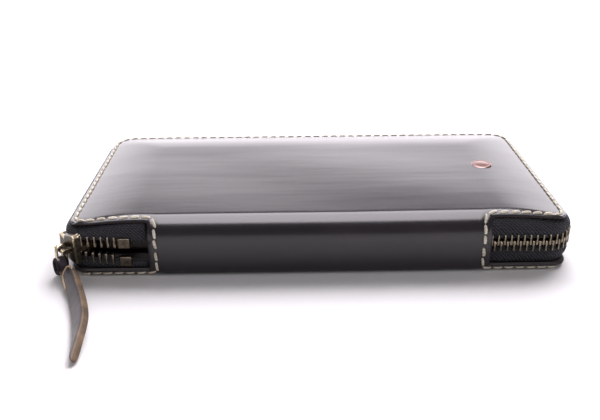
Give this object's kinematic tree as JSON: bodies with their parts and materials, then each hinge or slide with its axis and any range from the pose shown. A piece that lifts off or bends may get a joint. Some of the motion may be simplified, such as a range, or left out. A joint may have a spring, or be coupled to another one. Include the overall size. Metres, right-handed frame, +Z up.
{
  "type": "zip around wallet",
  "caption": "Long leather wallet lying flat, with a metal zip round three sides, a leather pull, card pockets and a zipped coin pocket inside.",
  "frame": {"origin": "centre of the bottom cover's flat underside", "axes": "+X along the spine to the right, +Y from the spine towards the zip at the back, +Z up out of the top cover"},
  "size_m": [0.2026, 0.1535, 0.0243],
  "materials": {
    "cover_leather": "polished",
    "lining_leather": "matte",
    "pocket_leather": "satin",
    "cream_thread": "waxed",
    "zip_tape": "woven",
    "zip_metal": "antique",
    "slider_metal": "antique",
    "stud_metal": "satin",
    "strap_leather": "polished"
  },
  "bodies": {
    "bottom_cover": {"cover_bottom_panel": "cover_leather", "lining_bottom": "lining_leather", "card_panel_bottom": "pocket_leather", "card_pocket_bottom_1": "pocket_leather", "card_pocket_bottom_2": "pocket_leather", "card_pocket_bottom_3": "pocket_leather", "card_pocket_bottom_4": "pocket_leather", "stitches_bottom": "cream_thread", "zip_tape_lower": "zip_tape", "zip_teeth_lower": "zip_metal", "zip_top_stop_lower": "zip_metal"},
    "spine": {"cover_spine_panel": "cover_leather", "lining_spine": "lining_leather", "stitches_spine": "cream_thread", "zip_bottom_stop": "zip_metal", "coin_pocket_lower_wall": "pocket_leather", "coin_pocket_upper_wall": "pocket_leather", "coin_pocket_side_left": "pocket_leather", "coin_pocket_side_right": "pocket_leather", "coin_pocket_base": "pocket_leather", "coin_zip_tape_lower": "zip_tape", "coin_zip_tape_upper": "zip_tape", "coin_zip_teeth_lower": "zip_metal", "coin_zip_teeth_upper": "zip_metal", "coin_zip_stop_open_end": "zip_metal", "coin_zip_stop_closed_end": "zip_metal", "gusset_lower_left": "pocket_leather", "gusset_lower_right": "pocket_leather", "gusset_upper_left": "pocket_leather", "gusset_upper_right": "pocket_leather"},
    "top_cover": {"cover_top_panel": "cover_leather", "lining_top": "lining_leather", "card_panel_top": "pocket_leather", "card_pocket_top_1": "pocket_leather", "card_pocket_top_2": "pocket_leather", "card_pocket_top_3": "pocket_leather", "card_pocket_top_4": "pocket_leather", "stitches_top": "cream_thread", "emblem_stud": "stud_metal", "zip_tape_upper": "zip_tape", "zip_teeth_upper": "zip_metal", "zip_top_stop_upper": "zip_metal"},
    "zip_slider": {"slider_body": "slider_metal", "slider_bridge": "slider_metal"},
    "zip_pull": {"pull_bail": "slider_metal"},
    "pull_strap": {"pull_strap": "strap_leather"},
    "coin_slider": {"coin_slider_body": "slider_metal", "coin_slider_bridge": "slider_metal"},
    "coin_pull": {"coin_pull_tab": "slider_metal"}
  },
  "joints": [
    {"name": "wallet_open", "type": "hinge", "parent": "bottom_cover", "child": "spine", "pos_m": [0, -0.0517, 0.0044], "axis": [1, 0, 0], "range_deg": [0, 35], "deforming": ["gusset_lower_left", "gusset_lower_right"]},
    {"name": "top_cover_fold", "type": "hinge", "parent": "spine", "child": "top_cover", "pos_m": [0, -0.0517, 0.0176], "axis": [1, 0, 0], "range_deg": [0, 35], "deforming": ["gusset_upper_left", "gusset_upper_right"]},
    {"name": "slider_travel", "type": "hinge", "parent": "bottom_cover", "child": "zip_slider", "pos_m": [-0.088, -0.0385, 0.011], "axis": [0, 0, -1], "range_deg": [-45, 45], "deforming": ["zip_teeth_lower", "zip_teeth_upper", "zip_tape_lower", "zip_tape_upper"]},
    {"name": "pull_swing", "type": "hinge", "parent": "zip_slider", "child": "zip_pull", "pos_m": [-0.0997, -0.0502, 0.0108], "axis": [-0.7071, 0.7071, 0], "range_deg": [0, 110]},
    {"name": "strap_lift", "type": "hinge", "parent": "zip_pull", "child": "pull_strap", "pos_m": [-0.0997, -0.0502, 0.0029], "axis": [-0.7071, -0.7071, 0], "range_deg": [0, 25]},
    {"name": "coin_slider_travel", "type": "slide", "parent": "spine", "child": "coin_slider", "axis": [-1, 0, 0], "range_m": [0, 0.144], "deforming": ["coin_zip_teeth_lower", "coin_zip_teeth_upper", "coin_zip_tape_lower", "coin_zip_tape_upper"]},
    {"name": "coin_pull_swing", "type": "hinge", "parent": "coin_slider", "child": "coin_pull", "pos_m": [0.072, 0.0391, 0.01115], "axis": [0, 0, -1], "range_deg": [0, 60]}
  ],
  "couplings": [
    {"joint": "top_cover_fold", "follows": "wallet_open", "ratio": 1}
  ]
}
